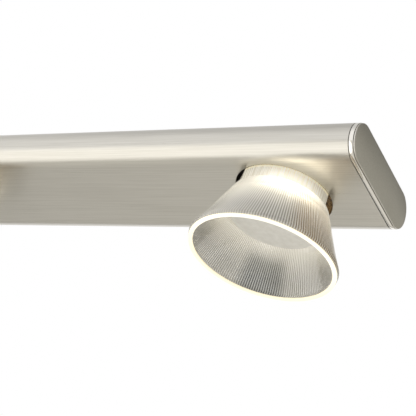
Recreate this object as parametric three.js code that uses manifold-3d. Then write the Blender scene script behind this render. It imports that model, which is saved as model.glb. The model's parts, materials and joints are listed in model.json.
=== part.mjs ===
// A ceiling spotlight rail: a flat-oval nickel profile hangs from a ceiling strap and carries three
// lamp heads. Each head pans in a round hole of the profile and tilts about a pin under it.
// Millimetres, +Z up. The origin is on the ceiling, above the middle of the rail; the rail runs along X.
import * as THREE from "three";
import { mergeVertices } from "three/addons/utils/BufferGeometryUtils.js";
import Module from "manifold-3d";

const wasm = await Module();
wasm.setup();

// ---- Driving dimensions ----
const railWidth = 80;
const railThickness = 23;
const railWall = 1.6;
const headPitch = 250;
const headToEnd = 56;
const headCount = 3;
const trimThickness = 2.4;
const plateThickness = 0.8;
const fitGap = 0.3;
const strapDrop = 8;
const strapWidth = 32;
const strapLength = 470;
const sheet = 1.5;
const boltSlot = 12;
const boltX = 212;
const holeRadius = 28;
const pivotDirection = -Math.PI / 3;
const shadeHeight = 43.4;
const rimRadius = 41.9;
const rimHeight = 2.8;

// Worked out from them
const railLength = headPitch * (headCount - 1) + headToEnd * 2;
const faceZ = -(strapDrop + railThickness);
const endStack = trimThickness + plateThickness + fitGap * 2;
const profileLength = railLength - endStack * 2;
const headPlaces = Array.from({ length: headCount }, (_, i) => (i - (headCount - 1) / 2) * headPitch);

// ---- Materials ----
const finish = (color, roughness, metalness, opacity = 1) =>
  new THREE.MeshStandardMaterial({ color, roughness, metalness, opacity, transparent: opacity < 1 });
const satinNickel = finish(0xb5afa0, 0.35, 1);
const polishedChrome = finish(0xe2e0dc, 0.08, 1);
const zincSteel = finish(0xa9adb0, 0.4, 1);
const blackPlastic = finish(0x17130f, 0.35, 0);
const whiteAluminium = finish(0xe6e4dd, 0.4, 0.2);
const opalAcrylic = finish(0xf6ecd2, 0.3, 0, 0.85);
const clearAcrylic = finish(0xf2f0ea, 0.05, 0, 0.35);
const boardWhite = finish(0xf1f1ec, 0.5, 0);
const phosphorYellow = finish(0xf2d06a, 0.4, 0);
const driverWhite = finish(0xe8e8e4, 0.5, 0);
const rubberBlack = finish(0x222222, 0.8, 0);
const leadWhite = finish(0xdddad2, 0.6, 0);

// ---- Solids ----
function solidOf(geometry) {
  const bare = geometry.clone();
  bare.deleteAttribute("normal");
  bare.deleteAttribute("uv");
  const merged = mergeVertices(bare, 1e-4);
  return new wasm.Manifold(
    new wasm.Mesh({
      numProp: 3,
      vertProperties: merged.attributes.position.array,
      triVerts: new Uint32Array(merged.index.array),
    }),
  );
}

function geometryOf(solid) {
  const mesh = solid.getMesh();
  const geometry = new THREE.BufferGeometry();
  geometry.setAttribute("position", new THREE.BufferAttribute(mesh.vertProperties, 3));
  geometry.setIndex(new THREE.BufferAttribute(mesh.triVerts, 1));
  geometry.computeVertexNormals();
  return geometry;
}

// A round bar along Z.
function rod(radius, low, high, sides = 20) {
  const bar = new THREE.CylinderGeometry(radius, radius, high - low, sides);
  return bar.rotateX(Math.PI / 2).translate(0, 0, (low + high) / 2);
}

// A round bar along X.
const crossRod = (radius, low, high, sides = 12) => rod(radius, low, high, sides).rotateY(Math.PI / 2);

// A turned piece about Z from [radius, height] points.
function turned(points, sides = 32) {
  const profile = points.map(([r, z]) => new THREE.Vector2(r, z));
  return new THREE.LatheGeometry(profile, sides).rotateX(Math.PI / 2);
}

// A turned ring: its profile closes on itself.
const ring = (points, sides) => turned([...points, points[0]], sides);

function block(x, y, z) {
  const [x0, x1] = x;
  const [y0, y1] = y;
  const [z0, z1] = z;
  const box = new THREE.BoxGeometry(x1 - x0, y1 - y0, z1 - z0);
  return box.translate((x0 + x1) / 2, (y0 + y1) / 2, (z0 + z1) / 2);
}

// A shape drawn in the YZ plane, drawn out along X from low to high.
function drawnAlongX(shape, low, high, curveSegments = 10) {
  const stretch = new THREE.ExtrudeGeometry(shape, {
    depth: high - low,
    bevelEnabled: false,
    curveSegments,
    steps: 1,
  });
  const turn = new THREE.Matrix4().makeBasis(
    new THREE.Vector3(0, 1, 0),
    new THREE.Vector3(0, 0, 1),
    new THREE.Vector3(1, 0, 0),
  );
  return stretch.applyMatrix4(turn).translate(low, 0, 0);
}

// The profile's flat oval, set in from its outer skin by inset.
function flatOval(inset, kind = THREE.Shape) {
  const radius = railThickness / 2 - inset;
  const reach = railWidth / 2 - railThickness / 2;
  const middle = -strapDrop - railThickness / 2;
  const oval = new kind();
  oval.moveTo(-reach, middle - radius);
  oval.lineTo(reach, middle - radius);
  oval.absarc(reach, middle, radius, -Math.PI / 2, Math.PI / 2);
  oval.lineTo(-reach, middle + radius);
  oval.absarc(-reach, middle, radius, Math.PI / 2, Math.PI * 1.5);
  return oval;
}

function piece(name, geometry, material) {
  const mesh = new THREE.Mesh(geometry, material);
  mesh.name = name;
  return mesh;
}

// ---- Ceiling strap and what hangs the rail under it ----
const clipHalfLength = 20;
const clipHalfWidth = 13;
const boltHeadDepth = 3;
const cableX = -125;

function ceilingStrap() {
  const half = strapWidth / 2;
  let strap = solidOf(block([-strapLength / 2, strapLength / 2], [-half, half], [-sheet, 0]));
  for (const x of [-170, -60, 60, 170]) {
    strap = strap.subtract(solidOf(rod(2.6, -strapDrop, 1, 12).translate(x, 0, 0)));
  }
  strap = strap.subtract(solidOf(rod(10.5, -strapDrop, 1).translate(cableX, 0, 0)));
  return geometryOf(strap);
}

// A pair of Z-shaped clips, welded under the strap by their flanges, with a slot between them for a bolt.
function hangerClips() {
  const flangeHalf = strapWidth / 2;
  const slot = boltSlot / 2;
  const top = -sheet - fitGap;
  const bottom = -strapDrop + fitGap;
  const outline = [
    [flangeHalf, top],
    [clipHalfWidth - sheet, top],
    [clipHalfWidth - sheet, bottom + sheet],
    [slot, bottom + sheet],
    [slot, bottom],
    [clipHalfWidth, bottom],
    [clipHalfWidth, top - sheet],
    [flangeHalf, top - sheet],
  ];
  const section = new THREE.Shape(outline.map(([y, z]) => new THREE.Vector2(y, z)));
  const back = drawnAlongX(section, -clipHalfLength, clipHalfLength);
  return [back, back.clone().rotateZ(Math.PI)];
}

// A T-head bolt: the head lies across the clip's lips and the shank goes down through the rail's top.
function hangerBolt() {
  const headBottom = -strapDrop + fitGap * 2 + sheet;
  const head = solidOf(block([-4.5, 4.5], [-10.8, 10.8], [headBottom, headBottom + boltHeadDepth]));
  const shank = solidOf(rod(2.4, -strapDrop - 7.5, headBottom + 1, 16));
  return geometryOf(head.add(shank));
}

function hangerNut() {
  const top = -strapDrop - railWall - fitGap;
  const hexagon = solidOf(rod(4.6, top - 3.2, top, 6));
  return geometryOf(hexagon.subtract(solidOf(rod(2.7, top - 4, top + 1, 16))));
}

// ---- Rail profile and its ends ----
function railProfile() {
  const section = flatOval(0);
  section.holes.push(flatOval(railWall, THREE.Path));
  let profile = solidOf(drawnAlongX(section, -profileLength / 2, profileLength / 2));
  for (const x of headPlaces) {
    const hole = rod(holeRadius, faceZ - 1, faceZ + railWall * 2, 36).translate(x, 0, 0);
    profile = profile.subtract(solidOf(hole));
  }
  const topHoles = [
    [-boltX, 2.7, 16],
    [boltX, 2.7, 16],
    [cableX, 8, 20],
  ];
  for (const [x, radius, sides] of topHoles) {
    const low = -strapDrop - railWall * 2;
    profile = profile.subtract(solidOf(rod(radius, low, -strapDrop + 1, sides).translate(x, 0, 0)));
  }
  return geometryOf(profile);
}

// The polished trim closes the profile with a hollow plug; side is 1 for the right end and -1 for the left.
function endTrim(side) {
  const start = profileLength / 2 + fitGap;
  const plugDepth = 7;
  const plugWall = 1.4;
  const cover = solidOf(drawnAlongX(flatOval(0), start, start + trimThickness));
  const plugSection = flatOval(railWall + fitGap);
  plugSection.holes.push(flatOval(railWall + fitGap + plugWall, THREE.Path));
  const plug = solidOf(drawnAlongX(plugSection, start - plugDepth, start + 0.5));
  const trim = geometryOf(cover.add(plug));
  return side > 0 ? trim : trim.rotateZ(Math.PI);
}

function endPlate(side) {
  const start = profileLength / 2 + fitGap * 2 + trimThickness;
  const plate = drawnAlongX(flatOval(0.25), start, start + plateThickness);
  return side > 0 ? plate : plate.rotateZ(Math.PI);
}

// ---- Electrical parts inside the rail ----
const railFloor = faceZ + railWall + fitGap;
const leadHeight = faceZ + 17.4;

function driverBox() {
  const half = 25;
  const height = 14;
  const corner = 2;
  const outline = new THREE.Shape();
  outline.moveTo(-half, railFloor);
  outline.lineTo(half, railFloor);
  outline.lineTo(half, railFloor + height - corner);
  outline.lineTo(half - corner, railFloor + height);
  outline.lineTo(-half + corner, railFloor + height);
  outline.lineTo(-half, railFloor + height - corner);
  return drawnAlongX(outline, 72, 196);
}

function terminalBlock() {
  let body = solidOf(block([-88, -58], [-9, 9], [railFloor, railFloor + 12]));
  for (const y of [-5.4, 0, 5.4]) {
    for (const x of [-80, -66]) {
      body = body.subtract(solidOf(rod(1.7, railFloor + 7, railFloor + 13, 8).translate(x, y, 0)));
    }
  }
  return geometryOf(body);
}

// A rubber ring with a groove that holds the edge of the rail's cable hole.
function cableGrommet() {
  const skin = -strapDrop;
  const inside = skin - railWall;
  const outline = [
    [4.5, inside - 2.2],
    [9.6, inside - 2.2],
    [9.6, inside - fitGap],
    [7.6, inside - fitGap],
    [7.6, skin + fitGap],
    [9.4, skin + fitGap],
    [4.5, skin + 1.6],
  ];
  return ring(outline, 24).translate(cableX, 0, 0);
}

function cableClamp() {
  const low = railFloor;
  const saddle = solidOf(block([-108, -100], [-11, 11], [low, low + 6]));
  const groove = solidOf(crossRod(3.4, -109, -99, 20).translate(0, 0, low + 6));
  return geometryOf(saddle.subtract(groove));
}

// A round lead along a smooth line through the points.
function lead(points, radius, steps) {
  const line = new THREE.CatmullRomCurve3(points.map(([x, y, z]) => new THREE.Vector3(x, y, z)));
  const section = new THREE.Shape().absarc(0, 0, radius, 0, Math.PI * 2);
  return new THREE.ExtrudeGeometry(section, { steps, extrudePath: line, curveSegments: 4 });
}

const supplyRoute = [
  [-57, -5.4, railFloor + 5],
  [-53, -5.6, railFloor + 5],
  [-38, -16, leadHeight - 4],
  [-20, -22, leadHeight],
  [20, -22, leadHeight],
  [45, -18, leadHeight - 3],
  [66, -10, railFloor + 7],
  [71, -10, railFloor + 7],
];

// From the head's hollow spigot, over the head and beside its spring, to a joint near the driver.
function headLeadRoute(x) {
  const away = x > 100 ? -1 : 1;
  return [
    [x, 0, faceZ + 9],
    [x, 0, faceZ + 14],
    [x + 2 * away, 5, leadHeight],
    [x + 12 * away, 17, leadHeight],
    [x + 28 * away, 21, leadHeight],
    [x + 40 * away, 21, leadHeight],
  ];
}

// ---- A lamp head, in its own frame: Z = 0 is the rail's underside and X runs along the tilt pin ----
const cupFloor = railWall + fitGap;
const cupCeiling = 6.8;
const cupTop = 8.4;
const pivotZ = -1.5;
const hubRadius = 5;
const hubHalfLength = 15;
const collarRadius = 27.1;
const collarWall = 1.7;
const shadeTop = -7.6;
const neckInner = 25.2;
const bodyRadius = 24.9;
const bodyBottom = -11.6;

// The turntable is a cup that rests on the rail's floor round the hole, with a hub for the tilt pin.
function turntable() {
  const cup = turned(
    [
      [0, cupCeiling],
      [holeRadius + 0.2, cupCeiling],
      [holeRadius + 0.2, cupFloor],
      [29.8, cupFloor],
      [29.8, cupTop],
      [5, cupTop],
      [5, cupTop + 4],
      [0, cupTop + 4],
    ],
    32,
  );
  const web = solidOf(block([-hubHalfLength, hubHalfLength], [-hubRadius, hubRadius], [pivotZ, cupCeiling + 0.5]));
  const knuckle = solidOf(crossRod(hubRadius, -hubHalfLength, hubHalfLength, 16).translate(0, 0, pivotZ));
  const bore = solidOf(crossRod(2, -hubHalfLength - 1, hubHalfLength + 1, 12).translate(0, 0, pivotZ));
  const leadBore = solidOf(rod(2.2, cupCeiling - 1, cupTop + 5, 12));
  return geometryOf(solidOf(cup).add(web).add(knuckle).subtract(bore).subtract(leadBore));
}

// A leaf spring: its middle presses on the turntable and its ends push against the rail's inner top.
function frictionSpring() {
  const low = cupTop + fitGap;
  const high = railThickness - railWall - fitGap;
  const thick = 0.8;
  const outline = new THREE.Shape();
  outline.moveTo(-10, low);
  outline.lineTo(10, low);
  outline.quadraticCurveTo(17, low + 1, 20, high - thick);
  outline.lineTo(25, high - thick);
  outline.lineTo(25, high);
  outline.lineTo(19.4, high);
  outline.quadraticCurveTo(16, low + 2.2, 9.6, low + thick);
  outline.lineTo(-9.6, low + thick);
  outline.quadraticCurveTo(-16, low + 2.2, -19.4, high);
  outline.lineTo(-25, high);
  outline.lineTo(-25, high - thick);
  outline.lineTo(-20, high - thick);
  outline.quadraticCurveTo(-17, low + 1, -10, low);
  const strip = new THREE.ExtrudeGeometry(outline, { depth: 14, bevelEnabled: false, curveSegments: 4 });
  const leaf = solidOf(strip.rotateX(Math.PI / 2).translate(0, 7, 0));
  return geometryOf(leaf.subtract(solidOf(rod(5.4, low - 1, low + thick + 1, 16))));
}

const pivotPin = () => crossRod(1.7, -20.5, 20.5, 14).translate(0, 0, pivotZ);

// The LED housing: a finned white plate with two ears on the tilt pin.
function lampBody() {
  const earInner = hubHalfLength + 0.5;
  const earOuter = earInner + 3;
  const earRadius = 4;
  let body = solidOf(rod(bodyRadius, bodyBottom, shadeTop, 28));
  for (const y of [-19, -15, -11, 11, 15, 19]) {
    const groove = block([-14, 14], [y - 0.8, y + 0.8], [shadeTop - 1.6, shadeTop + 1]);
    body = body.subtract(solidOf(groove));
  }
  for (const side of [-1, 1]) {
    const reach = side > 0 ? [earInner, earOuter] : [-earOuter, -earInner];
    const stalk = solidOf(block(reach, [-earRadius, earRadius], [shadeTop - 1, pivotZ]));
    const eye = solidOf(crossRod(earRadius, reach[0], reach[1], 14).translate(0, 0, pivotZ));
    body = body.add(stalk).add(eye);
  }
  return geometryOf(body.subtract(solidOf(crossRod(2, -25, 25, 12).translate(0, 0, pivotZ))));
}

// The opal collar: two glowing cheeks either side of the pin, with a gap on each side for the tilt.
function opalCollar() {
  const top = -0.4;
  const bottom = shadeTop + fitGap;
  const footTop = bottom + 0.9;
  const gapHalf = THREE.MathUtils.degToRad(30);
  const sleeve = solidOf(
    ring(
      [
        [collarRadius - collarWall, bottom],
        [collarRadius, bottom],
        [collarRadius, top],
        [collarRadius - collarWall, top],
      ],
      36,
    ),
  );
  const far = 40;
  const wedge = new THREE.Shape();
  wedge.moveTo(0, 0);
  wedge.lineTo(far * Math.sin(gapHalf), far * Math.cos(gapHalf));
  wedge.lineTo(-far * Math.sin(gapHalf), far * Math.cos(gapHalf));
  const cutter = new THREE.ExtrudeGeometry(wedge, { depth: 12, bevelEnabled: false });
  cutter.translate(0, 0, footTop);
  const cut = sleeve.subtract(solidOf(cutter)).subtract(solidOf(cutter.clone().rotateZ(Math.PI)));
  return geometryOf(cut);
}

function ledBoard() {
  return rod(16, bodyBottom - 1.3, bodyBottom - 0.3, 20);
}

function ledChip() {
  return rod(8, bodyBottom - 2.4, bodyBottom - 1.6, 20);
}

// A wide frosted disc under the board, with a skirt and a flange that the clamp ring holds.
function lens() {
  const flangeTop = bodyBottom - 0.3;
  const flangeBottom = flangeTop - 1.5;
  const discTop = flangeBottom - 2.8;
  const discBottom = discTop - 1.6;
  return turned(
    [
      [0, discBottom],
      [26.8, discBottom],
      [27.2, discTop],
      [20.2, discTop + 0.2],
      [20.2, flangeBottom],
      [22.6, flangeBottom],
      [22.6, flangeTop],
      [18.4, flangeTop],
      [18.2, discTop],
      [0, discTop],
    ],
    28,
  );
}

function clampRing() {
  const top = bodyBottom - 2.2;
  return ring(
    [
      [20.6, top - 1.4],
      [25.6, top - 1.4],
      [26, top],
      [20.6, top],
    ],
    24,
  );
}

// The flared shade: a neck round the LED housing, a lip that the clamp ring holds, and a thick open rim.
function shade() {
  const lipTop = bodyBottom - 0.3;
  const wall = 2.6;
  return ring(
    [
      [neckInner, shadeTop],
      [neckInner, lipTop],
      [23, lipTop],
      [23, lipTop - 1.5],
      [27.2, lipTop - 1.6],
      [33.4, -27.6],
      [rimRadius - wall, -shadeHeight],
      [rimRadius, -shadeHeight],
      [rimRadius + 0.5, -shadeHeight + rimHeight],
      [34.8, -23.6],
      [30.2, -12.6],
      [28, shadeTop],
    ],
    32,
  );
}

function lampHead(number, x) {
  const named = (part) => `head_${number}_${part}`;
  const head = new THREE.Group();
  head.position.set(x, 0, faceZ);
  head.rotation.z = pivotDirection;
  head.add(piece(named("turntable"), turntable(), blackPlastic));
  head.add(piece(named("pivot_pin"), pivotPin(), zincSteel));
  head.add(piece(named("lamp_body"), lampBody(), whiteAluminium));
  head.add(piece(named("collar"), opalCollar(), opalAcrylic));
  head.add(piece(named("led_board"), ledBoard(), boardWhite));
  head.add(piece(named("led_chip"), ledChip(), phosphorYellow));
  head.add(piece(named("lens"), lens(), opalAcrylic));
  head.add(piece(named("clamp_ring"), clampRing(), polishedChrome));
  head.add(piece(named("shade"), shade(), clearAcrylic));
  return head;
}

// ---- Assembly ----
const fixture = new THREE.Group();
fixture.add(piece("ceiling_strap", ceilingStrap(), zincSteel));
fixture.add(piece("rail_profile", railProfile(), satinNickel));
for (const [name, side] of [
  ["left", -1],
  ["right", 1],
]) {
  fixture.add(piece(`end_trim_${name}`, endTrim(side), polishedChrome));
  fixture.add(piece(`end_plate_${name}`, endPlate(side), satinNickel));
  const [back, front] = hangerClips();
  fixture.add(piece(`hanger_clip_${name}_back`, back.translate(side * boltX, 0, 0), zincSteel));
  fixture.add(piece(`hanger_clip_${name}_front`, front.translate(side * boltX, 0, 0), zincSteel));
  fixture.add(piece(`hanger_bolt_${name}`, hangerBolt().translate(side * boltX, 0, 0), zincSteel));
  fixture.add(piece(`hanger_nut_${name}`, hangerNut().translate(side * boltX, 0, 0), zincSteel));
}
fixture.add(piece("led_driver", driverBox(), driverWhite));
fixture.add(piece("terminal_block", terminalBlock(), driverWhite));
fixture.add(piece("cable_grommet", cableGrommet(), rubberBlack));
fixture.add(piece("cable_clamp", cableClamp(), blackPlastic));
fixture.add(piece("supply_lead", lead(supplyRoute, 1.6, 22), leadWhite));
headPlaces.forEach((x, i) => {
  const number = i + 1;
  fixture.add(piece(`head_${number}_lead`, lead(headLeadRoute(x), 1.4, 14), leadWhite));
  fixture.add(piece(`head_${number}_spring`, frictionSpring().translate(x, 0, faceZ), zincSteel));
  fixture.add(lampHead(number, x));
});

export default fixture;
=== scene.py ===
import json
from math import atan2, copysign, cos, hypot, pi, radians

import bmesh
import bpy
from mathutils import Matrix, Vector


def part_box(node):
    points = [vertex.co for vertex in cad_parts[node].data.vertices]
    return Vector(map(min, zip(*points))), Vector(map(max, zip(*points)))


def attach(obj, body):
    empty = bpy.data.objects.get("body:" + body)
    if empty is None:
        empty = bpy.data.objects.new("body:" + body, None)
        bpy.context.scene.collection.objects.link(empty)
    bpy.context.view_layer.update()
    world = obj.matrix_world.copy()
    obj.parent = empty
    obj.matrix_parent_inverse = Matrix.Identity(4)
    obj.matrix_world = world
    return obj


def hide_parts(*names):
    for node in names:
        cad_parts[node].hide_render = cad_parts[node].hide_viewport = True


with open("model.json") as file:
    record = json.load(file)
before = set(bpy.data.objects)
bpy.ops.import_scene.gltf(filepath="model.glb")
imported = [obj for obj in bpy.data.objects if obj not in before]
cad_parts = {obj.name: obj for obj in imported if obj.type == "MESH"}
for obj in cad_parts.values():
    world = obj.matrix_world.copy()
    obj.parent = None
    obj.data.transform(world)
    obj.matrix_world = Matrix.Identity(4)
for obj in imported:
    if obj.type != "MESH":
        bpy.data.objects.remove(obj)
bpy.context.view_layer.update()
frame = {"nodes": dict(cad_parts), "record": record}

mm = 0.001
headNumbers = (1, 2, 3)

railLow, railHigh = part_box("rail_profile")
faceZ = railLow.z        # the rail's underside
railMiddle = (railLow.z + railHigh.z) / 2
railRadius = (railHigh.z - railLow.z) / 2


def headX(number):
    low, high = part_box(f"head_{number}_lens")
    return (low.x + high.x) / 2


# camera: below the rail and in front of its right end, rolled so that the rail falls away to the right
cameraValues = {
    "place": (0.59127, -0.51314, faceZ - 0.38185),
    "right": (0.853399, 0.420347, 0.308250),
    "up": (-0.001958, -0.588769, 0.808299),
    "lens": 112.58,
    "sensor": 36.0,
}


def makeCamera(values):
    data = bpy.data.cameras.new("camera")
    data.lens = values["lens"]
    data.sensor_width = values["sensor"]
    data.clip_start = 0.05
    data.clip_end = 60
    right = Vector(values["right"])
    up = Vector(values["up"])
    axes = Matrix((right, up, right.cross(up))).transposed()
    camera = bpy.data.objects.new("camera", data)
    camera.matrix_world = Matrix.Translation(values["place"]) @ axes.to_4x4()
    bpy.context.scene.collection.objects.link(camera)
    bpy.context.scene.camera = camera


# shader maths: a socket that can be added, multiplied and so on
class Sock:
    def __init__(self, tree, socket):
        self.tree = tree
        self.socket = socket

    def maths(self, operation, *others):
        return self.tree.node("ShaderNodeMath", {"operation": operation}, (self, *others))

    def __add__(self, other):
        return self.maths("ADD", other)

    def __radd__(self, other):
        return self.maths("ADD", other)

    def __sub__(self, other):
        return self.maths("SUBTRACT", other)

    def __rsub__(self, other):
        return self.tree.node("ShaderNodeMath", {"operation": "SUBTRACT"}, (other, self))

    def __mul__(self, other):
        return self.maths("MULTIPLY", other)

    def __rmul__(self, other):
        return self.maths("MULTIPLY", other)

    def __truediv__(self, other):
        return self.maths("DIVIDE", other)

    def __abs__(self):
        return self.maths("ABSOLUTE")


class Tree:
    def __init__(self, owner):
        owner.use_nodes = True
        self.nodes = owner.node_tree.nodes
        self.links = owner.node_tree.links
        self.nodes.clear()

    # adds a node: settings first, then the values or links of its sockets, by place or by name
    def node(self, kind, settings=None, inputs=(), output=0):
        made = self.nodes.new(kind)
        for name, value in (settings or {}).items():
            if name == "stops":
                ramp = made.color_ramp
                while len(ramp.elements) < len(value):
                    ramp.elements.new(0.5)
                for element, (place, colour) in zip(ramp.elements, value):
                    element.position = place
                    element.color = (*colour, 1)
            else:
                setattr(made, name, value)
        pairs = inputs.items() if isinstance(inputs, dict) else enumerate(inputs)
        for key, value in pairs:
            if isinstance(value, Sock):
                self.links.new(value.socket, made.inputs[key])
            else:
                made.inputs[key].default_value = value
        return Sock(self, made.outputs[output]) if made.outputs else None

    def place(self):
        return self.node("ShaderNodeTexCoord", output="Object")

    def part(self, vector, axis):
        return self.node("ShaderNodeSeparateXYZ", inputs=(vector,), output=axis)

    # the place stretched by a factor on each axis, and read as noise
    def noise(self, stretch, detail=3.0, roughness=0.5):
        inputs = {"Vector": self.place(), "Scale": stretch}
        stretched = self.node("ShaderNodeMapping", {"vector_type": "POINT"}, inputs)
        values = {"Vector": stretched, "Scale": 1.0, "Detail": detail, "Roughness": roughness}
        return self.node("ShaderNodeTexNoise", {"noise_dimensions": "3D"}, values)

    def ramp(self, factor, stops):
        return self.node("ShaderNodeValToRGB", {"stops": stops}, (factor,))

    def smooth(self, value, low, high):
        values = {"Value": value, "From Min": low, "From Max": high}
        return self.node("ShaderNodeMapRange", {"interpolation_type": "SMOOTHSTEP"}, values)

    def blend(self, factor, first, second):
        made = self.nodes.new("ShaderNodeMix")
        made.data_type = "RGBA"
        for key, value in zip((0, 6, 7), (factor, first, second)):
            if isinstance(value, Sock):
                self.links.new(value.socket, made.inputs[key])
            else:
                made.inputs[key].default_value = (*value, 1) if key else value
        return Sock(self, made.outputs[2])

    def bump(self, height, distance, strength=1.0):
        inputs = {"Height": height, "Distance": distance, "Strength": strength}
        return self.node("ShaderNodeBump", inputs=inputs)

    def surface(self, inputs):
        shader = self.node("ShaderNodeBsdfPrincipled", inputs=inputs)
        self.node("ShaderNodeOutputMaterial", inputs={"Surface": shader})


def newMaterial(name):
    material = bpy.data.materials.new(name)
    return material, Tree(material)


nickelValues = {
    "light": (0.70, 0.68, 0.635),
    "dark": (0.61, 0.59, 0.545),
    "streak": (22, 1500, 1500),      # along the rail, then across it
    "patches": (3, 26, 26),
    "roughness": (0.24, 0.36),
    "depth": 0.00002,
}


def brushedNickel(name, values):
    material, tree = newMaterial(name)
    streaks = tree.noise(values["streak"], 4, 0.62)
    patches = tree.noise(values["patches"], 2)
    tone = tree.smooth(streaks * 0.75 + patches * 0.25, 0.32, 0.66)
    low, high = values["roughness"]
    tree.surface({
        "Base Color": tree.blend(tone, values["dark"], values["light"]),
        "Metallic": 1.0,
        "Roughness": low + streaks * (high - low),
        "Normal": tree.bump(streaks, values["depth"], 0.6),
    })
    return material


polishValues = {"light": (0.93, 0.91, 0.87), "dark": (0.84, 0.81, 0.76), "roughness": 0.05}


def polishedNickel(values):
    material, tree = newMaterial("polishedNickel")
    haze = tree.noise((180, 180, 180), 3)
    tree.surface({
        "Base Color": tree.blend(haze, values["dark"], values["light"]),
        "Metallic": 1.0,
        "Roughness": values["roughness"] + haze * 0.05,
    })
    return material


# a plain moulded or plated finish: two tones, a roughness range and a fine bump
def mottled(name, first, second, metallic, roughness, scale, depth):
    material, tree = newMaterial(name)
    grain = tree.noise((scale, scale, scale), 4)
    low, high = roughness
    tree.surface({
        "Base Color": tree.blend(tree.smooth(grain, 0.3, 0.7), first, second),
        "Metallic": metallic,
        "Roughness": low + grain * (high - low),
        "Normal": tree.bump(grain, depth, 0.5),
    })
    return material


headPitch = headX(2) - headX(1)


# where a point is on its own head: right of its axis, in front of it, and height over the rail's face
def headPlace(tree):
    place = tree.place()
    x = tree.part(place, 0)
    heads = tree.node("ShaderNodeMath", {"operation": "ROUND"}, (x / headPitch,))
    return x - heads * headPitch, tree.part(place, 1), tree.part(place, 2) - faceZ


spotValues = {"aim": (0.62, -0.78), "radius": 26, "height": -10.5, "spread": 1.6, "reach": 17}


# a soft spot of light on the front of a head, spread round it: 1 at its middle and 0 at its reach
def hotSpot(tree, values):
    x, y, z = headPlace(tree)
    right, back = values["aim"]
    out = x * right + y * back - values["radius"] * mm
    around = (y * right - x * back) / values["spread"]
    high = (z - values["height"] * mm) * 1.15
    squares = out * out + around * around + high * high
    far = tree.node("ShaderNodeMath", {"operation": "SQRT"}, (squares,))
    return 1 - tree.smooth(far, values["reach"] * 0.12 * mm, values["reach"] * mm)


# fine streaks of painted light that run up a head, as the shade's ribs spread the lamp's light
def ribStreaks(tree, count):
    x, y, z = headPlace(tree)
    angle = tree.node("ShaderNodeMath", {"operation": "ARCTAN2"}, (y, x))
    across = tree.node("ShaderNodeCombineXYZ", inputs=(angle * count, z * 60, 0))
    values = {"Vector": across, "Scale": 1.0, "Detail": 1.0}
    return tree.node("ShaderNodeTexNoise", {"noise_dimensions": "3D"}, values)


opalValues = {
    "streaks": 34,
    "body": (0.76, 0.71, 0.585),
    "light": (0.92, 0.89, 0.81),
    "glow": (1.0, 0.95, 0.80),
    "unlit": (0.02, 0.018, 0.012),
    # a painted bright line of lamp light along the collar's top edge, in its glow
    "edge": (0.50, 0.42, 0.22),
    "strength": 0.55,
}


# the collar's glow is painted lamp light: a painted hot spot on its front and a painted bright top edge;
# its colour carries painted streaks of light
def opalAcrylic(name, values):
    material, tree = newMaterial(name)
    x, y, z = headPlace(tree)
    cloud = tree.smooth(ribStreaks(tree, values["streaks"]), 0.3, 0.7)
    spot = hotSpot(tree, spotValues)
    edge = tree.smooth(z, -1.5 * mm, -0.5 * mm)
    unlit = tree.blend(edge, values["unlit"], values["edge"])
    tree.surface({
        "Base Color": tree.blend(cloud, values["body"], values["light"]),
        "Roughness": 0.22 + cloud * 0.12,
        "Emission Color": tree.blend(spot, unlit, values["glow"]),
        "Emission Strength": values["strength"],
    })
    return material


# a lit part with no bright spot of its own
def litPlastic(name, body, glow, strength):
    material, tree = newMaterial(name)
    cloud = tree.noise((300, 300, 300), 3)
    tree.surface({
        "Base Color": tree.blend(cloud, body, tuple(0.5 + part / 2 for part in body)),
        "Roughness": 0.3 + cloud * 0.15,
        "Emission Color": glow + (1,),
        "Emission Strength": strength,
    })
    return material


turntableValues = {
    "dark": (0.012, 0.009, 0.007),
    # painted warm lamp light, in the colour and the glow of one side
    "lit": (0.26, 0.16, 0.07),
    "aim": (0.9, 0.44),
    "streak": 900,
}


# black moulding with painted warm lamp light, in streaks, on one side
def litMoulding(values):
    material, tree = newMaterial("blackMoulding")
    x, y, z = headPlace(tree)
    streaks = tree.noise((values["streak"], values["streak"], 20), 2)
    side = tree.smooth(x * values["aim"][0] + y * values["aim"][1], 14 * mm, 27 * mm)
    warmLight = side * tree.smooth(streaks, 0.25, 0.75)
    tree.surface({
        "Base Color": tree.blend(warmLight, values["dark"], values["lit"]),
        "Roughness": 0.25 + streaks * 0.2,
        "Emission Color": tree.blend(warmLight, (0, 0, 0), values["lit"]),
        "Emission Strength": 0.55,
        "Normal": tree.bump(streaks, 0.00001, 0.5),
    })
    return material


# 1 near one direction round a head and 0 away from it
def nearAngle(tree, angle, degrees, low, high):
    facing = tree.node("ShaderNodeMath", {"operation": "COSINE"}, (angle - radians(degrees),))
    return tree.smooth(facing, low, high)


# the shade's outer radius in millimetres: terms in its height under the rail's face, over 40 mm
flareTerms = (24.858, 18.105, -3.906, 3.122)


# a trumpet that flares most at its mouth
def flare(z):
    s = z * (-1 / 40)
    first, second, third, fourth = flareTerms
    return first + s * (second + s * (s * fourth + third))


acrylicValues = {
    # the rib lines follow the real ribs; their tones round the head are painted: painted shade where they
    # look darkest, a painted warm reflection where they look golden, and faint where they hardly show
    "groove": (0.40, 0.385, 0.345),
    "shadedGroove": (0.0, 0.0, 0.0),
    "shadedRib": (0.62, 0.63, 0.61),
    "shadiest": 118,                  # where the grooves look darkest, in degrees round the head
    "goldGroove": (0.28, 0.17, 0.05),
    "goldest": -14,                  # and where they look golden
    "clearest": -132,                # and where they hardly show
    "rib": (0.97, 0.96, 0.93),
    "plain": (0.86, 0.845, 0.81),
    "transmission": 0.6,
    "ior": 1.49,
    "ribs": 180,
    "ribTop": -10.4,                 # the painted lines start higher than the modelled ribs
    "throat": (-27, -17),            # where the inner wall's ribs fade towards the lens
    "neck": (-36, -12),
    "neckGlow": 0.17,
    "glow": (1, 0.93, 0.76),
}


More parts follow.
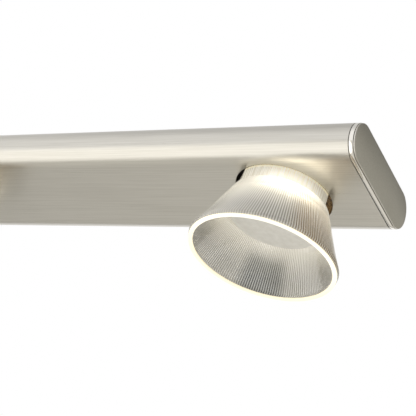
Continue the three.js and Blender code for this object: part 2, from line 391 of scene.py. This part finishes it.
def clearAcrylic(values):
    material, tree = newMaterial("clearAcrylic")
    x, y, z = headPlace(tree)
    radius = tree.node("ShaderNodeMath", {"operation": "SQRT"}, (x * x + y * y,))
    inside = tree.smooth(flare(z / mm) - radius / mm, 0.8, 1.6)     # 1 on the inner wall
    throat = tree.smooth(z, values["throat"][0] * mm, values["throat"][1] * mm) * inside
    haze = tree.noise((55, 55, 55), 2)
    angle = tree.node("ShaderNodeMath", {"operation": "ARCTAN2"}, (y, x))
    wave = tree.node("ShaderNodeMath", {"operation": "COSINE"}, (angle * values["ribs"],)) * 0.5 + 0.5
    ribbed = 1 - tree.smooth(z, (values["ribTop"] - 2) * mm, (values["ribTop"] + 1) * mm)
    streaks = tree.smooth(ribStreaks(tree, 40), 0.3, 0.7)
    # painted light in the emission: a streaky hot spot of the lamp's light and a warm glow up the neck
    spot = hotSpot(tree, spotValues) * (0.38 + streaks * 0.24)
    neck = tree.smooth(z, values["neck"][0] * mm, values["neck"][1] * mm)
    shaded = nearAngle(tree, angle, values["shadiest"], 0.90, 0.985) * (1 - throat) * inside
    gold = nearAngle(tree, angle, values["goldest"], 0.80, 0.97)
    clear = nearAngle(tree, angle, values["clearest"], 0.35, 0.90) * 0.8 * (1 - inside)
    groove = tree.blend(shaded, values["groove"], values["shadedGroove"])
    groove = tree.blend(gold, groove, values["goldGroove"])
    lines = tree.blend(wave, groove, tree.blend(shaded, values["rib"], values["shadedRib"]))
    tree.surface({
        "Base Color": tree.blend(ribbed * (1 - clear) * (1 - throat * 0.25), values["plain"], lines),
        "Roughness": 0.06 + haze * 0.08,
        "IOR": values["ior"],
        "Transmission Weight": values["transmission"],
        "Emission Color": tree.blend(spot + neck * values["neckGlow"], (0, 0, 0), values["glow"]),
        "Emission Strength": 1.0,
    })
    return material


rimValues = {
    "body": (0.6, 0.56, 0.45, 1),
    "warmLight": (0.92, 0.84, 0.62),
    "white": (1, 0.99, 0.95),
    "side": (0.80, 0.72, 0.52),
    "sideAbove": (-43.25, -42.6),
    "front": (0.6, -0.8),
    "strength": 0.75,
}


# painted glow of the lamp's light in the rim: whitest underneath and at the front, and warmer at its
# sides and back
def glowingRim(values):
    material, tree = newMaterial("glowingRim")
    x, y, z = headPlace(tree)
    low, high = values["sideAbove"]
    edge = tree.smooth(z, low * mm, high * mm)
    front = tree.smooth(x * values["front"][0] + y * values["front"][1], -20 * mm, 30 * mm)
    middle = tree.blend(front, values["warmLight"], values["white"])
    tree.surface({
        "Base Color": values["body"],
        "Roughness": 0.25,
        "Emission Color": tree.blend(edge, middle, values["side"]),
        "Emission Strength": values["strength"],
    })
    return material


# modelling helpers
def addPiece(name, mesh, material, body, nodes=(), angle=30):
    piece = bpy.data.objects.new(name, mesh)
    bpy.context.scene.collection.objects.link(piece)
    mesh.materials.clear()
    mesh.materials.append(material)
    mesh.shade_smooth()
    mesh.set_sharp_from_angle(angle=radians(angle))
    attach(piece, body)
    if nodes:
        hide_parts(*nodes)
    return piece


def meshOf(bm, name):
    bmesh.ops.remove_doubles(bm, verts=bm.verts, dist=0.004 * mm)
    bmesh.ops.recalc_face_normals(bm, faces=bm.faces)
    mesh = bpy.data.meshes.new(name)
    bm.to_mesh(mesh)
    bm.free()
    return mesh


# rounds every edge that turns by more than the angle
def softenEdges(bm, width, segments=2, angle=35):
    sharp = [e for e in bm.edges if len(e.link_faces) == 2 and e.calc_face_angle() > radians(angle)]
    bmesh.ops.bevel(
        bm,
        geom=sharp,
        offset=width,
        segments=segments,
        affect="EDGES",
        profile=0.5,
        material=-1,
        clamp_overlap=True,
    )


# spins a profile of (radius, height over the rail's face) in millimetres about the upright axis
def turned(points, steps, closed=True):
    bm = bmesh.new()
    verts = [bm.verts.new((r * mm, 0, faceZ + z * mm)) for r, z in points]
    pairs = zip(verts, verts[1:] + verts[:1] if closed else verts[1:])
    edges = [bm.edges.new(pair) for pair in pairs]
    bmesh.ops.spin(
        bm, geom=verts + edges, cent=(0, 0, 0), axis=(0, 0, 1), angle=2 * pi, steps=steps, use_merge=True
    )
    bmesh.ops.remove_doubles(bm, verts=bm.verts, dist=0.004 * mm)
    bmesh.ops.recalc_face_normals(bm, faces=bm.faces)
    return bm


# one shape, made once and put on every head
def putOnHeads(label, bm, material, nodePart=None, angle=30):
    shape = meshOf(bm, label)
    for number in headNumbers:
        mesh = shape.copy()
        mesh.transform(Matrix.Translation((headX(number), 0, 0)))
        nodes = [f"head_{number}_{nodePart}"] if nodePart else []
        addPiece(f"{label}{number}", mesh, material, f"lamp_{number}", nodes, angle)
    bpy.data.meshes.remove(shape)


# a flat oval as wide and thick as the rail, less an inset, as one face across the rail
def ovalFace(x, inset, arcs=96):
    bm = bmesh.new()
    turn = Matrix.Rotation(pi / 2, 4, "Y") @ Matrix.Rotation(pi / arcs, 4, "Z")
    bmesh.ops.create_circle(bm, cap_ends=True, segments=arcs, radius=railRadius - inset, matrix=turn)
    reach = (railHigh.y - railLow.y) / 2 - railRadius
    for v in bm.verts:
        v.co.y += copysign(reach, v.co.y)
    bmesh.ops.translate(bm, verts=bm.verts, vec=(x, 0, railMiddle))
    return bm


# pulls faces along the rail; a face that already has walls round it isn't left behind
def pull(bm, faces, distance):
    inside = [f for f in faces if not any(e.is_boundary for e in f.edges)]
    made = bmesh.ops.extrude_face_region(bm, geom=faces)
    bmesh.ops.delete(bm, geom=inside, context="FACES_ONLY")
    verts = [g for g in made["geom"] if isinstance(g, bmesh.types.BMVert)]
    bmesh.ops.translate(bm, verts=verts, vec=(distance, 0, 0))
    return [g for g in made["geom"] if isinstance(g, bmesh.types.BMFace)]


railValues = {
    "wall": 1.6,
    "hole": 28.0,
    "edge": 0.15,
    "bolt": 2.7,
    "boltX": 212,
    "cable": 8,
    "cableX": -125,
}


def cutHoles(piece, holes):
    bm = bmesh.new()
    for x, radius, z, steps in holes:
        spot = Matrix.Translation((x, 0, z))
        bmesh.ops.create_cone(
            bm, cap_ends=True, segments=steps, radius1=radius, radius2=radius, depth=6 * mm, matrix=spot
        )
    mesh = bpy.data.meshes.new("cutter")
    bm.to_mesh(mesh)
    bm.free()
    cutter = bpy.data.objects.new("cutter", mesh)
    bpy.context.scene.collection.objects.link(cutter)
    modifier = piece.modifiers.new("holes", "BOOLEAN")
    modifier.object = cutter
    modifier.solver = "EXACT"
    cut = bpy.data.meshes.new_from_object(piece.evaluated_get(bpy.context.evaluated_depsgraph_get()))
    piece.modifiers.clear()
    piece.data = cut
    bpy.data.objects.remove(cutter)
    bpy.data.meshes.remove(mesh)


def makeRail(values, material):
    bm = ovalFace(railLow.x, 0)
    bmesh.ops.inset_region(
        bm, faces=bm.faces[:], thickness=values["wall"] * mm, use_boundary=True, use_even_offset=True
    )
    inner = max(bm.faces, key=lambda f: len(f.verts))
    bmesh.ops.delete(bm, geom=[inner], context="FACES_ONLY")
    pull(bm, bm.faces[:], railHigh.x - railLow.x)
    shell = meshOf(bm, "railShell")
    rail = addPiece("railShell", shell, material, "fixture", ["rail_profile"])
    holes = [(headX(n), values["hole"] * mm, faceZ, 144) for n in headNumbers]
    holes += [(side * values["boltX"] * mm, values["bolt"] * mm, railHigh.z, 32) for side in (-1, 1)]
    holes += [(values["cableX"] * mm, values["cable"] * mm, railHigh.z, 48)]
    cutHoles(rail, holes)
    bm = bmesh.new()
    bm.from_mesh(rail.data)
    lips = [e for e in bm.edges if isLip(e, values["hole"] * mm)]
    bmesh.ops.bevel(
        bm, geom=lips, offset=values["edge"] * mm, segments=3, affect="EDGES", profile=0.5, material=-1
    )
    bm.to_mesh(rail.data)
    bm.free()
    rail.data.shade_smooth()
    rail.data.set_sharp_from_angle(angle=radians(30))
    for polygon in rail.data.polygons:
        if abs(polygon.normal.z) > 0.99999:
            polygon.use_smooth = False
    return rail


# true on the outer edge of a head's hole
def isLip(edge, radius):
    for v in edge.verts:
        gap = min(abs(hypot(v.co.x - headX(n), v.co.y) - radius) for n in headNumbers)
        if gap > 0.05 * mm or abs(v.co.z - faceZ) > 0.05 * mm:
            return False
    return True


endValues = {
    "trim": 2.4,
    "trimEdge": 0.35,
    "plugInset": 1.9,
    "plugWall": 1.4,
    "plugReach": 6.7,
    "plugHollow": 6.4,
    "plateInset": 0.25,
    "plateEdge": 0.2,
}


def makeEnd(side, values, trimMaterial, plateMaterial):
    label = "right" if side > 0 else "left"
    title = label.capitalize()
    low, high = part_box(f"end_trim_{label}")
    outer = high.x if side > 0 else low.x
    inner = outer - side * values["trim"] * mm
    bm = ovalFace(outer, 0)
    pull(bm, bm.faces[:], inner - outer)
    rim = [e for e in bm.edges if len(e.link_faces) == 2 and e.calc_face_angle() > 1]
    bmesh.ops.bevel(
        bm, geom=rim, offset=values["trimEdge"] * mm, segments=3, affect="EDGES", profile=0.5, material=-1
    )
    back = max(bm.faces, key=lambda f: -side * f.calc_center_median().x + f.calc_area())
    bmesh.ops.inset_region(
        bm, faces=[back], thickness=(values["plugInset"] - values["trimEdge"]) * mm, use_even_offset=True
    )
    plug = pull(bm, [back], -side * values["plugReach"] * mm)
    bmesh.ops.inset_region(bm, faces=plug, thickness=values["plugWall"] * mm, use_even_offset=True)
    pull(bm, plug, side * values["plugHollow"] * mm)
    trim = meshOf(bm, "trim")
    addPiece(f"endTrim{title}", trim, trimMaterial, "fixture", [f"end_trim_{label}"])
    low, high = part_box(f"end_plate_{label}")
    bm = ovalFace(low.x, values["plateInset"] * mm)
    pull(bm, bm.faces[:], high.x - low.x)
    softenEdges(bm, values["plateEdge"] * mm, 2, 60)
    plate = meshOf(bm, "plate")
    addPiece(f"endPlate{title}", plate, plateMaterial, "fixture", [f"end_plate_{label}"])


shadeValues = {
    "top": -7.6,
    "widest": -40.6,
    "rimTop": -42.4,
    "bottom": -43.4,
    "wall": 2.4,
    "mouth": 41.9,
    "rimWidth": 2.5,
    "rimEdge": 0.35,
    "ribs": 180,
    "ribDepth": 0.32,
    "ribTop": -15.0,
    "rings": 14,
}


def makeShades(values, clear, glow):
    top = values["top"]
    low = values["widest"]
    rings = values["rings"]
    outer = values["mouth"]
    inner = outer - values["rimWidth"]
    heights = [top + (low - top) * i / rings for i in range(rings + 1)]
    outside = [(flare(z), z) for z in heights]
    inside = [(flare(z) - values["wall"], z) for z in reversed(heights) if z < -13.6]
    lip = [(27.2, -13.5), (23, -13.4), (23, -11.9), (25.2, -11.9), (25.2, top)]
    mouth = [(outer + 0.2, values["rimTop"]), (inner + 0.1, values["rimTop"])]
    bm = turned(outside + mouth + inside + lip, values["ribs"] * 4)
    for v in bm.verts:                                   # the fine ribs stand in from the inner wall
        z = (v.co.z - faceZ) / mm
        radius = hypot(v.co.x, v.co.y)
        if z < values["ribTop"] and radius < (flare(z) - values["wall"] * 0.9) * mm:
            wave = 0.5 + 0.5 * cos(values["ribs"] * atan2(v.co.y, v.co.x))
            scale = 1 - values["ribDepth"] * mm * wave / radius
            v.co.x *= scale
            v.co.y *= scale
    putOnHeads("shade", bm, clear, "shade", 40)
    rimTop = values["rimTop"] + 0.1
    bottom = values["bottom"]
    rim = turned([(outer, bottom), (outer + 0.1, rimTop), (inner, rimTop), (inner, bottom)], 192)
    softenEdges(rim, values["rimEdge"] * mm, 3)
    putOnHeads("shadeRim", rim, glow)


collarValues = {
    "outer": 27.6,
    "inner": 25.4,
    "top": 0.4,
    "bottom": -7.3,
    "foot": 0.9,
    "gap": 60,                       # degrees
    "pin": -60,                      # the tilt pin's direction
}


def makeCollars(values, material):
    footTop = values["bottom"] + values["foot"]
    bm = turned([
        (values["inner"], values["bottom"]),
        (values["outer"], values["bottom"]),
        (values["outer"], footTop),
        (values["outer"], values["top"]),
        (values["inner"], values["top"]),
        (values["inner"], footTop),
    ], 180)
    gaps = []                                            # two cheeks by the tilt pin, open between them
    for face in bm.faces:
        middle = face.calc_center_median()
        turn = atan2(middle.y, middle.x) - radians(values["pin"] + 90)
        if middle.z > faceZ + (footTop + 0.05) * mm and abs(cos(turn)) > cos(radians(values["gap"] / 2)):
            gaps.append(face)
    bmesh.ops.delete(bm, geom=gaps, context="FACES")
    bmesh.ops.holes_fill(bm, edges=[e for e in bm.edges if e.is_boundary], sides=0)
    softenEdges(bm, 0.2 * mm, 2, 60)
    putOnHeads("collar", bm, material, "collar")


def makeLenses(material):
    bm = turned([
        (0, -18), (26.8, -18), (27.2, -16.2), (20.2, -16), (20.2, -13.4),
        (22.6, -13.4), (22.6, -11.9), (18.4, -11.9), (18.2, -16.2), (0, -16.2),
    ], 96, closed=False)
    softenEdges(bm, 0.25 * mm, 2)
    putOnHeads("lens", bm, material, "lens")


def makeClampRings(material):
    bm = turned([(20.6, -15.2), (25.6, -15.2), (26, -13.8), (20.6, -13.8)], 96)
    softenEdges(bm, 0.3 * mm, 3)
    putOnHeads("clampRing", bm, material, "clamp_ring")


# the studio: a pale floor well below that glows near the rail, and white all round, dimmer overhead
# and where the rail's right end looks
studioValues = {
    "floor": -2.4,
    "floorRadius": 9,
    "colour": (0.58, 0.568, 0.53),
    "glow": (0.30, 0.291, 0.268),
    "fade": (5.0, 6.2),              # metres behind and to the left, where the floor stops glowing
    "overhead": 0.36,
    "right": 0.60,
    "rightAim": (0.52, 0.69, 0.5),
}


def makeStudio(values):
    bm = bmesh.new()
    spot = Matrix.Translation((0, 0, values["floor"]))
    bmesh.ops.create_circle(bm, cap_ends=True, segments=96, radius=values["floorRadius"], matrix=spot)
    mesh = bpy.data.meshes.new("floor")
    bm.to_mesh(mesh)
    bm.free()
    floor = bpy.data.objects.new("floor", mesh)
    bpy.context.scene.collection.objects.link(floor)
    material, tree = newMaterial("paleFloor")
    place = tree.place()
    away = tree.smooth(tree.part(place, 1) - tree.part(place, 0) * 0.9, *values["fade"])
    tree.surface({
        "Base Color": (*values["colour"], 1),
        "Roughness": 0.7,
        "Emission Color": tree.blend(away, values["glow"], (0, 0, 0)),
        "Emission Strength": 1.0,
    })
    mesh.materials.append(material)

    world = bpy.data.worlds.new("studio")
    bpy.context.scene.world = world
    tree = Tree(world)
    direction = tree.node("ShaderNodeTexCoord", output="Generated")
    settings = {"operation": "DOT_PRODUCT"}
    aim = tree.node("ShaderNodeVectorMath", settings, (direction, values["rightAim"]), "Value")
    right = tree.smooth(aim, 0.5, 0.98)
    overhead = tree.smooth(tree.part(direction, 2), 0.45, 0.95)
    strength = 1 - right * values["right"] - overhead * values["overhead"]
    tint = tree.blend(right, (1, 0.995, 0.98), (1, 0.97, 0.85))
    light = tree.node("ShaderNodeBackground", inputs={"Color": tint, "Strength": strength})
    white = tree.node("ShaderNodeBackground", inputs={"Color": (1, 1, 1, 1), "Strength": 1.0})
    seen = tree.node("ShaderNodeLightPath", output="Is Camera Ray")
    shown = tree.node("ShaderNodeMixShader", inputs=(seen, light, white))
    tree.node("ShaderNodeOutputWorld", inputs={"Surface": shown})


softboxValues = {"place": (-0.95, -0.95, -1.25), "size": 2.2, "power": 9, "colour": (1, 0.99, 0.96)}


# a soft light below and in front, which the rail's near edge mirrors
def makeSoftbox(values):
    data = bpy.data.lights.new("softbox", "AREA")
    data.shape = "DISK"
    data.size = values["size"]
    data.energy = values["power"]
    data.color = values["colour"]
    light = bpy.data.objects.new("softbox", data)
    light.location = values["place"]
    light.rotation_euler = (-Vector(values["place"])).to_track_quat("-Z", "Y").to_euler()
    light.visible_camera = False
    bpy.context.scene.collection.objects.link(light)


print("camera and studio")
makeCamera(cameraValues)
makeStudio(studioValues)
makeSoftbox(softboxValues)
bpy.context.scene.view_settings.view_transform = "Standard"

print("materials")
nickel = brushedNickel("brushedNickel", nickelValues)
polish = polishedNickel(polishValues)
blackTones = (0.012, 0.009, 0.007), (0.03, 0.022, 0.016)
zinc = mottled("zincPlate", (0.55, 0.57, 0.60), (0.70, 0.71, 0.72), 1.0, (0.3, 0.5), 700, 0.00001)
blackPlastic = mottled("blackPlastic", *blackTones, 0.0, (0.25, 0.45), 900, 0.00001)
whitePaint = mottled("whitePaint", (0.80, 0.79, 0.76), (0.9, 0.89, 0.86), 0.0, (0.35, 0.5), 900, 0.00001)
whiteTones = (0.78, 0.78, 0.76), (0.86, 0.86, 0.84)
whitePlastic = mottled("whitePlastic", *whiteTones, 0.0, (0.4, 0.6), 500, 0.00001)
rubber = mottled("rubber", (0.015, 0.015, 0.015), (0.035, 0.035, 0.035), 0.0, (0.6, 0.85), 800, 0.00002)
sleeve = mottled("leadSleeve", (0.72, 0.71, 0.67), (0.82, 0.81, 0.77), 0.0, (0.4, 0.6), 600, 0.00001)
board = mottled("boardWhite", (0.85, 0.85, 0.82), (0.93, 0.93, 0.9), 0.0, (0.35, 0.5), 900, 0.00001)
opal = opalAcrylic("opalCollar", opalValues)
frost = litPlastic("frostedLens", (0.60, 0.59, 0.555), (1.0, 0.96, 0.88), 0.12)
phosphor = litPlastic("phosphor", (0.95, 0.8, 0.4), (1.0, 0.85, 0.6), 2.5)
acrylic = clearAcrylic(acrylicValues)
moulding = litMoulding(turntableValues)
rimGlow = glowingRim(rimValues)

cadFinishes = {
    "zinc_steel": zinc,
    "black_plastic": blackPlastic,
    "black_rubber": rubber,
    "white_aluminium": whitePaint,
    "board_white": board,
    "phosphor": phosphor,
    "white_plastic": whitePlastic,
    "lead_sleeve": sleeve,
    "opal_acrylic": opal,
    "clear_acrylic": acrylic,
    "satin_nickel": nickel,
    "polished_nickel": polish,
}
for part in frame["record"]["subparts"]:
    finish = cadFinishes[part["material_slot"]]
    # the turntables take the black moulding with painted warm lamp light on one side
    if part["node"].endswith("turntable"):
        finish = moulding
    nodeMesh = frame["nodes"][part["node"]].data
    nodeMesh.materials.clear()
    nodeMesh.materials.append(finish)

print("rail and ends")
makeRail(railValues, nickel)
for side in (-1, 1):
    makeEnd(side, endValues, polish, nickel)

print("lamp heads")
makeShades(shadeValues, acrylic, rimGlow)
makeCollars(collarValues, opal)
makeLenses(frost)
makeClampRings(polish)
